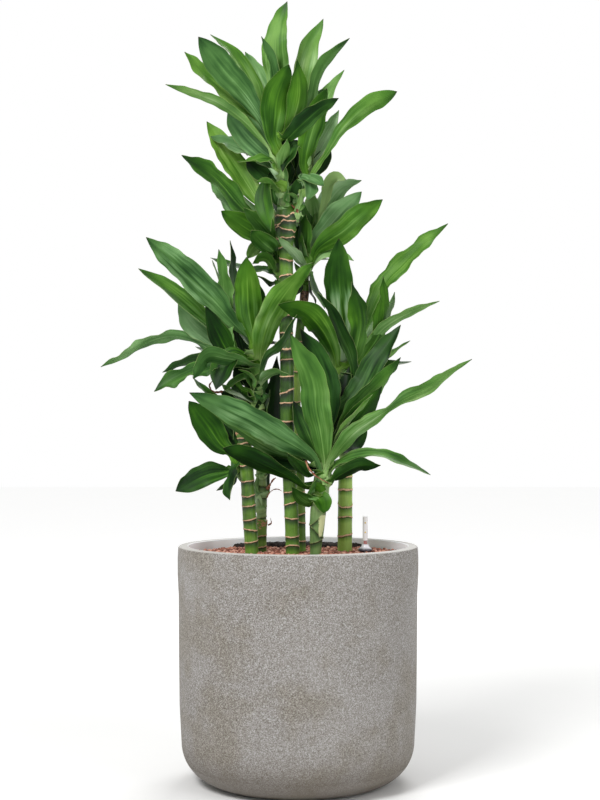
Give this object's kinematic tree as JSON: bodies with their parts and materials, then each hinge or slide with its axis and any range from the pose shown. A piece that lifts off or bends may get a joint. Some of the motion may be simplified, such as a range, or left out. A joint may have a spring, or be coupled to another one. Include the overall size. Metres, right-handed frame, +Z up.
{
  "type": "potted dracaena",
  "caption": "Indoor dracaena with bare ringed canes and crowns of long pointed leaves, planted in a tall round crackle-glazed pot topped with clay granules.",
  "frame": {"origin": "centre of the pot's flat base, on the surface that it stands on", "axes": "+Z up along the pot's axis, -Y towards the plant's front, +X to the right seen from the front"},
  "size_m": [0.6212, 0.4208, 1.3018],
  "materials": {
    "cast_stone": "matt, crackled and mottled cast shell",
    "soil": "loose dark crumbs",
    "clay": "dry fired clay granules",
    "gauge_shell": "smooth moulded",
    "clear_plastic": "clear moulded tube",
    "float_red": "smooth moulded",
    "cane": "smooth green bark with tan leaf-scar rings",
    "leaf": "waxy, finely veined along its length"
  },
  "bodies": {
    "root": {"pot": "cast_stone", "potting_soil": "soil", "clay_granules": "clay", "gauge_foot": "gauge_shell", "gauge_tube": "clear_plastic", "gauge_float": "float_red", "left_cane": "cane", "slim_cane": "cane", "tall_cane": "cane", "back_cane": "cane", "right_cane": "cane", "top_left_shoot": "leaf", "top_left_leaf_1": "leaf", "top_left_leaf_2": "leaf", "top_left_leaf_3": "leaf", "top_left_leaf_4": "leaf", "top_left_leaf_5": "leaf", "top_left_leaf_6": "leaf", "top_left_leaf_7": "leaf", "top_left_leaf_8": "leaf", "top_right_shoot": "leaf", "top_right_leaf_1": "leaf", "top_right_leaf_2": "leaf", "top_right_leaf_3": "leaf", "top_right_leaf_4": "leaf", "behind_shoot": "leaf", "behind_leaf_1": "leaf", "behind_leaf_2": "leaf", "behind_leaf_3": "leaf", "middle_shoot": "leaf", "middle_leaf_1": "leaf", "middle_leaf_2": "leaf", "middle_leaf_3": "leaf", "left_shoot": "leaf", "left_leaf_1": "leaf", "left_leaf_2": "leaf", "left_leaf_3": "leaf", "left_leaf_4": "leaf", "left_leaf_5": "leaf", "left_leaf_6": "leaf", "left_leaf_7": "leaf", "left_leaf_8": "leaf", "left_leaf_9": "leaf", "low_left_shoot": "leaf", "low_left_leaf_1": "leaf", "low_left_leaf_2": "leaf", "front_shoot": "leaf", "front_leaf_1": "leaf", "front_leaf_2": "leaf", "front_leaf_3": "leaf", "front_leaf_4": "leaf", "front_leaf_5": "leaf", "front_leaf_6": "leaf", "front_leaf_7": "leaf", "right_shoot": "leaf", "right_leaf_1": "leaf", "right_leaf_2": "leaf", "right_leaf_3": "leaf", "right_leaf_4": "leaf"}
  },
  "joints": []
}
